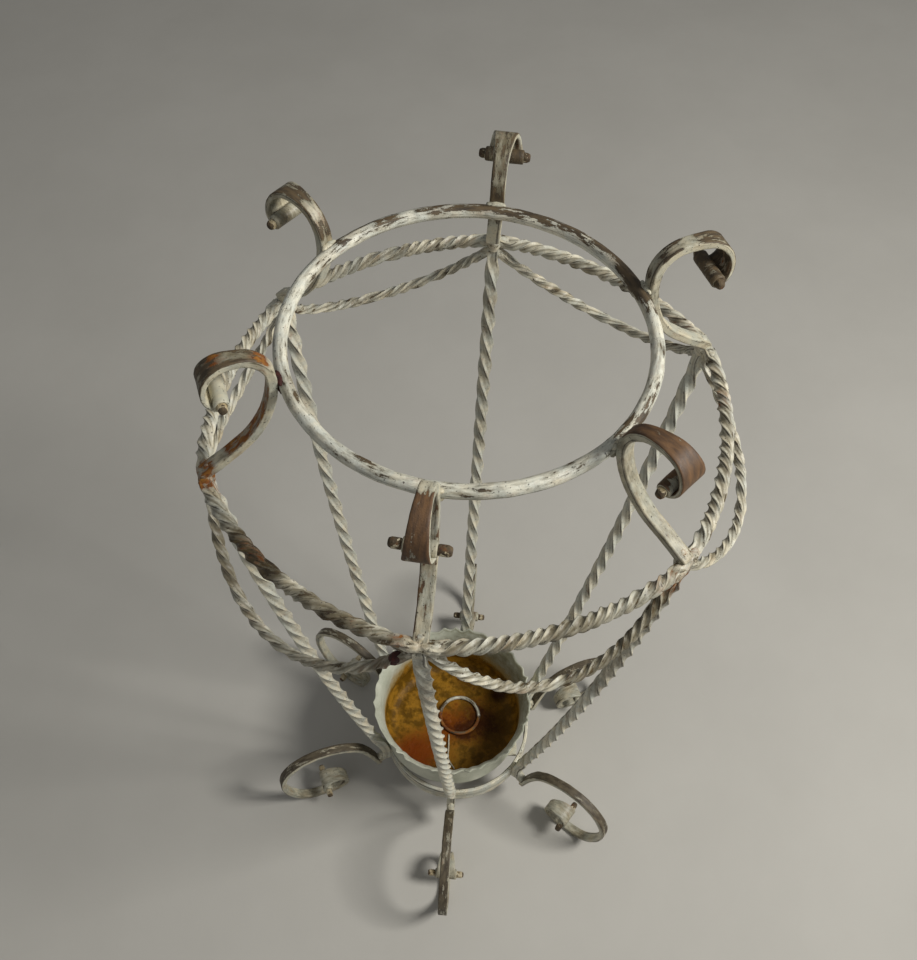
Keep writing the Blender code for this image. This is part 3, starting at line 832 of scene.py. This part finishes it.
def build_rest_bars():
    for side in ("front", "back"):
        node = f"pan_rest_bar_{side}"
        low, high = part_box(node)
        middle = (low + high) / 2
        size = np.ones(REST_BAR_STATIONS)
        steps = np.linspace(low.x, high.x, REST_BAR_STATIONS)
        bar = Bar(
            np.stack((steps, size * middle.y, size * middle.z), axis=1),
            np.tile((0.0, 1.0, 0.0), (REST_BAR_STATIONS, 1)),
            np.tile(UP, (REST_BAR_STATIONS, 1)),
            size * (high.y - low.y) / 2,
            size * (high.z - low.z) / 2,
        )
        swept(f"painted_{node}", bar, REST_BAR_CORNER, PLAIN_PAINT, node,
              dent=FINE_DENT, worn=0.1)


PAN_SIDES = 288
PAN_ROW_SPACING = 0.0022
PAN_SHEET = 0.0015
# The pan's outside, from the middle of its floor to its rim, as shares of its radius and height.
PAN_OUTSIDE = (
    (0.0, 0.0), (0.35, 0.0), (0.68, 0.0), (0.745, 0.0), (0.80, 0.03), (0.84, 0.075), (0.868, 0.14),
    (0.88, 0.19), (0.889, 0.22), (0.882, 0.26), (0.885, 0.45), (0.893, 0.62), (0.905, 0.78),
    (0.935, 0.90), (0.985, 0.985),
)
PAN_FLAT_TO = 0.05  # below this share of its height it is floor, and dented upward only

# The frilled rim: lobes of uneven width and depth that meet in cusps.
FRILL_LOBES = 34
FRILL_FROM = 0.72  # share of the pan's height
FRILL_OUT = 0.0015
FRILL_UP = 0.0014
FRILL_ROOM = 0.0015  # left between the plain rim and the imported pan's box

# Strength, place east and north of the pan's middle, and reach, in rim radii.
RED_SPOTS = ((1.0, -0.5, -0.5, 0.34), (0.5, 0.3, 0.05, 0.42), (0.45, -0.1, -0.05, 0.3))
# The two small strong spots just beside the near side of the wire ring are rust and also its painted shadow.
DARK_SPOTS = (
    (0.75, 0.52, -0.05, 0.28), (1.1, 0.62, 0.42, 0.12), (0.9, -0.17, -0.05, 0.12), (1.1, 0.13, -0.13, 0.12),
    (0.5, 0.2, 0.62, 0.24), (0.3, -0.55, -0.55, 0.2), (0.45, 0.25, 0.1, 0.2), (0.35, 0.45, -0.6, 0.2),
)


def spotted(east, north, spots):
    """The strengths of soft round spots, added up at each place."""
    total = 0.0
    for strength, middle_east, middle_north, reach in spots:
        apart = ((east - middle_east) / reach) ** 2 + ((north - middle_north) / reach) ** 2
        total = total + strength * np.exp(-apart)
    return total


def pan_rows(floor, top, rim):
    """Evenly spaced rows of the sheet's section: reach, height, and 0 outside or 1 inside."""
    profile = [(rim * r, floor + (top - floor) * z, 0.0) for r, z in PAN_OUTSIDE]
    profile.append((rim, top, 0.5))
    inner_floor = floor + PAN_SHEET
    for r, z in reversed(PAN_OUTSIDE):
        profile.append((max(0.0, rim * r - PAN_SHEET), inner_floor + (top - inner_floor) * z, 1.0))
    profile = np.array(profile)
    known = distances(profile * (1.0, 1.0, 0.0))
    wanted = np.linspace(0, known[-1], round(known[-1] / PAN_ROW_SPACING) + 1)
    rows = np.stack([np.interp(wanted, known, column) for column in profile.T], axis=1)
    return rows[1:-1]


def frill_wave(azimuth, outward):
    """How far the rim stands out at each azimuth, about zero."""
    cusps = 1 - 2.2 * np.abs(np.cos(FRILL_LOBES / 2 * azimuth + 3.2 * bumps(outward, 3.1, 9.0)))
    return cusps * np.clip(0.75 + 1.8 * bumps(outward, 4.0, 5.0), 0.1, 1.6) + 0.9 * bumps(outward, 7.0, 2.0)


def build_pan():
    """A pan of thin sheet: out along its underside, up the wall, over a frilled rim and down inside."""
    low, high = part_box("drip_pan")
    centre = (low + high) / 2
    rim = (high.x - low.x) / 2 - FRILL_ROOM
    top = high.z - FRILL_ROOM
    rows = pan_rows(low.z, top, rim)
    plain_reach, plain_height, side = rows[:, 0:1], rows[:, 1:2], rows[:, 2:3]
    azimuth = np.arange(PAN_SIDES) * math.tau / PAN_SIDES
    outward = np.stack((np.cos(azimuth), np.sin(azimuth), 0 * azimuth), axis=1)
    every = np.ones(PAN_SIDES)
    share = np.clip((plain_height - low.z) / (top - low.z), 0, 1) * every
    frill = np.clip((share - FRILL_FROM) / (1 - FRILL_FROM), 0, 1) ** 1.5
    wave = frill_wave(azimuth, outward)
    reach = plain_reach + FRILL_OUT * frill * wave
    height = plain_height + FRILL_UP * frill * (wave + 0.8 * bumps(outward, 2.3, 5.0))
    rings = outward * reach[..., None] + UP * height[..., None] + np.array((centre.x, centre.y, 0.0))
    dents = bumps(rings, 28.0) * 0.0007 + bumps(rings, 120.0) * 0.0002
    in_wall = share > PAN_FLAT_TO
    sideways = dents * in_wall * np.clip(plain_reach / rim * 2, 0, 1)
    upward = np.abs(dents) * ~in_wall * 0.5
    rings = rings + outward * sideways[..., None] + UP * upward[..., None]
    inside = (side > 0.75) * every
    east = outward[:, 0] * reach / rim
    north = outward[:, 1] * reach / rim
    # Grime and painted shade on the inside wall towards the east and north, which faces away from the light;
    # painted shade on the outside towards the bottom, seen through the hoop's gap.
    dirty_and_shaded_side = inside * np.clip(share * 3, 0, 1) * np.clip(0.75 * east + 0.45 * north, 0, 1)
    under = (1 - inside) * np.clip(1 - share * 3, 0, 1)
    fields = {
        "rust": inside * (1.2 - 1.35 * share) + (1 - inside) * 0.05,
        "edge": spotted(east, north, RED_SPOTS),
        "worn": spotted(east, north, DARK_SPOTS),
        "dirt_and_shade": 0.45 * under + dirty_and_shaded_side + 0.3 * (share > 0.96),
        "bar_space": rings,
    }
    mesh = skin("drip_pan_sheet", rings, fields, False)
    add_piece("rusted_drip_pan", mesh, PAN_RUST, "pan", ("drip_pan",))


WIRE_RING_STATIONS = 120
WIRE_CORNER = 0.4  # of its thickness
WIRE_RING_PATCHES = (
    # the near half: rusted and worn, and darkened with dirt and with painted shade
    Patch(0.48, 1.0, worn=0.5, dirt_and_shade=0.8, rust=0.6),
    Patch(0.0, 0.5, worn=0.2, dirt_and_shade=0.5),
)


def build_wire_ring():
    low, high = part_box("pan_wire_ring")
    thick = high.z - low.z
    radius = (high.x - low.x) / 2 - thick / 2
    centre = (low + high) / 2
    bar = hoop_bar(radius, centre.z, thick / 2, thick / 2, WIRE_RING_STATIONS, (centre.x, centre.y))
    swept("rusted_pan_wire_ring", bar, WIRE_CORNER * thick, RING_PAINT_WITH_PAINTED_LIGHT, "pan_wire_ring", "pan",
          dent=STRIP_DENT, patches=WIRE_RING_PATCHES)


# The loose end of wire: where it bends, east, north and up from the middle of the pan's floor.
LOOSE_WIRE_BENDS = (
    (-0.003, -0.016, 0.0026), (-0.003, -0.032, 0.0026), (-0.003, -0.045, 0.0026), (0.004, -0.057, 0.0026),
)
LOOSE_WIRE_RADIUS = 0.0008
LOOSE_WIRE_STATIONS = 40


def build_loose_wire():
    """A stray end of wire on the pan's floor, from the wire ring to the near wall."""
    low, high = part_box("drip_pan")
    bends = np.array(LOOSE_WIRE_BENDS)
    known = distances(bends)
    centres = smoothly(bends, known, np.linspace(0, known[-1], LOOSE_WIRE_STATIONS))
    centres = centres + np.array(((low.x + high.x) / 2, (low.y + high.y) / 2, low.z))
    size = np.full(LOOSE_WIRE_STATIONS, LOOSE_WIRE_RADIUS)
    bar = Bar(centres, np.cross(tangents(centres), UP), np.tile(UP, (LOOSE_WIRE_STATIONS, 1)), size, size)
    swept("painted_loose_wire", bar, 0.75 * LOOSE_WIRE_RADIUS, PLAIN_PAINT, body="pan",
          dent=FINE_DENT, worn_ends=0.2)


class Blob(NamedTuple):
    """A ball-ended rod."""

    start: Vector
    end: Vector
    radius: float


LUMP_VOXEL = 0.0009


def lump(name, blobs, look, rust=0.0):
    """A weld or a build-up of paint: blobs melted into one closed skin, then dented."""
    form = bmesh.new()
    for blob in blobs:
        run = blob.end - blob.start
        turn = Vector((0.0, 0.0, 1.0)).rotation_difference(run).to_matrix().to_4x4()
        size = Matrix.Diagonal((blob.radius, blob.radius, blob.radius + run.length / 2, 1.0))
        place = Matrix.Translation((blob.start + blob.end) / 2) @ turn @ size
        bmesh.ops.create_icosphere(form, subdivisions=3, radius=1.0, matrix=place)
    rough = bpy.data.meshes.new(name + "_rough")
    form.to_mesh(rough)
    form.free()
    holder = bpy.data.objects.new(name + "_rough", rough)
    bpy.context.scene.collection.objects.link(holder)
    remesh = holder.modifiers.new("melt", "REMESH")
    remesh.mode = "VOXEL"
    remesh.voxel_size = LUMP_VOXEL
    ease = holder.modifiers.new("ease", "SMOOTH")
    ease.iterations = 3
    view = bpy.context.evaluated_depsgraph_get()
    mesh = bpy.data.meshes.new_from_object(holder.evaluated_get(view))
    bpy.data.objects.remove(holder)
    bpy.data.meshes.remove(rough)
    mesh.name = name
    mesh.materials.clear()
    points = np.array([v.co for v in mesh.vertices])
    normals = np.array([v.normal for v in mesh.vertices])
    rise = 0.0006 * bumps(points, 260.0) + 0.0003 * bumps(points, 700.0)
    points = points + normals * rise[:, None]
    mesh.vertices.foreach_set("co", points.ravel())
    count = len(points)
    # A dent's hollow is darkened with dirt and with painted shade, and its high spots are worn first.
    add_fields(mesh, {
        "edge": np.clip(0.5 + rise * 900, 0, 1),
        "worn": np.full(count, 0.02),
        "rust": np.full(count, rust),
        "dirt_and_shade": np.clip(-rise * 700, 0, 0.6),
        "bar_space": points,
    })
    return add_piece(name, mesh, look, "stand")


def end_of(bar, last):
    """The middle of a bar's end, and the way from it into the bar."""
    points = bar.centres[::-1] if last else bar.centres
    return Vector(points[0]), (Vector(points[4]) - Vector(points[0])).normalized()


# Weld and paint where bars meet: how far it reaches along each bar from its end, and how thick it is.
BELT_LUMP_ALONG_UPRIGHT = 0.010
BELT_LUMP_ALONG_SCROLL = 0.006
BELT_LUMP_RADIUS = 0.0054
HANGING_LUMP_RADII = {"belt_bar": 0.0050, "swag_bar": 0.0040}
HANGING_LUMP_BEYOND = 0.003
HANGING_LUMP_ALONG = 0.007
BELT_JOINT_RUST = {"front_left": 0.5, "front": 0.12, "front_right": 0.2}

# The dark rust blister near the front end of the swag on the front left.
BLISTER_FROM_END = 0.019
BLISTER_TOP = Vector((0.002, 0.0, 0.005))
BLISTER_FOOT = Vector((-0.001, 0.0, -0.002))
BLISTER_RADIUS = 0.0043


def build_belt_joints():
    """Weld and paint where each post's bars meet at the belt."""
    for i, post in enumerate(POSTS):
        before = POSTS[i - 1]
        top, down = end_of(twisted(f"upright_{post}", UPRIGHT_SPACING, lower_first), True)
        start, up_scroll = end_of(flat(f"scroll_bar_{post}", FLAT_SPACING), False)
        low = top + down * BELT_LUMP_ALONG_UPRIGHT
        high = start + up_scroll * BELT_LUMP_ALONG_SCROLL
        blobs = [Blob(low, high, BELT_LUMP_RADIUS)]
        for kind, radius in HANGING_LUMP_RADII.items():
            for name, last in ((post, False), (before, True)):
                point, into = end_of(twisted(f"{kind}_{name}", HANGING_SPACING, clockwise_first), last)
                beyond = point - into * HANGING_LUMP_BEYOND
                blobs.append(Blob(beyond, point + into * HANGING_LUMP_ALONG, radius))
        rust = BELT_JOINT_RUST.get(post, 0.0)
        lump(f"paint_lump_belt_{post}", blobs, HANGING_PAINT, rust)
    bar = twisted("swag_bar_front_left", HANGING_SPACING, clockwise_first)
    point = Vector(bar.centres[-round(BLISTER_FROM_END / HANGING_SPACING)])
    blobs = [Blob(point + BLISTER_TOP, point + BLISTER_FOOT, BLISTER_RADIUS)]
    lump("rust_blister_belt_front", blobs, BLISTER)


# A bead of weld over and under each place where a scroll touches the ring.
RING_WELD_RISE = 0.0038
RING_WELD_REACH = 0.0052
RING_WELD_RADIUS = 0.0026
RING_WELD_SHARE = 1.3 / 2.3  # of the way from the scroll bar's middle to the ring bar's

# Beads between an upright and its foot: how far up the one and along the other, and how thick.
FOOT_WELDS = ((0.004, 0.003, 0.0046), (0.012, 0.010, 0.0040))


def build_ring_joints():
    low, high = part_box("top_ring")
    radius = (high.x - low.x) / 2 - (high.z - low.z) / 2
    for post in POSTS:
        bar = flat(f"scroll_bar_{post}", FLAT_SPACING)
        outward = outward_at(bar.centres)
        on_ring = AXIS + outward * radius + UP * (low.z + high.z) / 2
        nearest = np.linalg.norm(bar.centres - on_ring, axis=1).argmin()
        contact = Vector(bar.centres[nearest]).lerp(Vector(on_ring[nearest]), RING_WELD_SHARE)
        along = Vector(np.cross(UP, outward[nearest])) * RING_WELD_REACH
        blobs = []
        for rise in (-RING_WELD_RISE, RING_WELD_RISE):
            place = contact + Vector((0.0, 0.0, rise))
            blobs.append(Blob(place - along, place + along, RING_WELD_RADIUS))
        look, slot = (BLISTER, "pin_rust") if post == "front_left" else (SCROLL_PAINT, "scroll_paint")
        lump(f"weld_ring_{post}", blobs, look)


def build_foot_joints():
    for post in POSTS:
        start, up = end_of(twisted(f"upright_{post}", UPRIGHT_SPACING, lower_first), False)
        foot_start, into_foot = end_of(flat(f"foot_{post}", FLAT_SPACING), False)
        blobs = []
        for up_by, into_by, radius in FOOT_WELDS:
            blobs.append(Blob(start + up * up_by, foot_start + into_foot * into_by, radius))
        lump(f"weld_foot_{post}", blobs, FOOT_PAINT)


FLOOR_REACH = 6.0


def build_stage():
    mesh = bpy.data.meshes.new("floor")
    corners = ((-1, -1), (1, -1), (1, 1), (-1, 1))
    points = [(east * FLOOR_REACH, north * FLOOR_REACH, 0.0) for east, north in corners]
    mesh.from_pydata(points, [], [(0, 1, 2, 3)])
    mesh.materials.append(floor_finish("pale_floor"))
    floor = bpy.data.objects.new("floor", mesh)
    bpy.context.scene.collection.objects.link(floor)


LIGHTS_AIM = (0.0, 0.0, 0.4)
WORLD_STRENGTH = 0.17


def add_light(name, place, size, power, tint):
    data = bpy.data.lights.new(name, "AREA")
    data.shape = "DISK"
    data.size = size
    data.energy = power
    data.color = tint
    light = bpy.data.objects.new(name, data)
    light.location = place
    light.rotation_euler = (Vector(LIGHTS_AIM) - Vector(place)).to_track_quat("-Z", "Y").to_euler()
    bpy.context.scene.collection.objects.link(light)


def build_lights():
    world = bpy.data.worlds.new("studio")
    world.use_nodes = True
    background = world.node_tree.nodes["Background"]
    background.inputs["Color"].default_value = (0.98, 0.99, 1.0, 1.0)
    background.inputs["Strength"].default_value = WORLD_STRENGTH
    bpy.context.scene.world = world
    add_light("sky", (1.6, -0.35, 2.0), 0.8, 50.0, (1.0, 0.985, 0.95))
    add_light("fill", (-1.2, -1.4, 1.9), 1.6, 3.0, (0.97, 0.98, 1.0))


# The camera looks down from in front, from chest height.
CAMERA_FROM_AXIS = Vector((-0.005, -0.5213, 1.291))
CAMERA_DOWN = 54.5  # degrees below level
CAMERA_ROLL = 1.39
CAMERA_LENS = 43.18
CAMERA_SENSOR = 36.0


def build_camera():
    data = bpy.data.cameras.new("camera")
    data.sensor_fit = "HORIZONTAL"
    data.sensor_width = CAMERA_SENSOR
    data.lens = CAMERA_LENS
    data.clip_start = 0.01
    camera = bpy.data.objects.new("camera", data)
    tilt = Matrix.Rotation(math.radians(90.0 - CAMERA_DOWN), 4, "X")
    roll = Matrix.Rotation(math.radians(CAMERA_ROLL), 4, "Z")
    camera.matrix_world = Matrix.Translation(Vector(AXIS) + CAMERA_FROM_AXIS) @ tilt @ roll
    bpy.context.scene.collection.objects.link(camera)
    bpy.context.scene.camera = camera


build_scrolls_and_feet()
build_twisted_bars()
build_pins()
build_ring_and_hoop()
build_rest_bars()
build_pan()
build_wire_ring()
build_loose_wire()
build_belt_joints()
build_ring_joints()
build_foot_joints()
build_stage()
build_lights()
build_camera()
bpy.context.scene.view_settings.view_transform = "Standard"
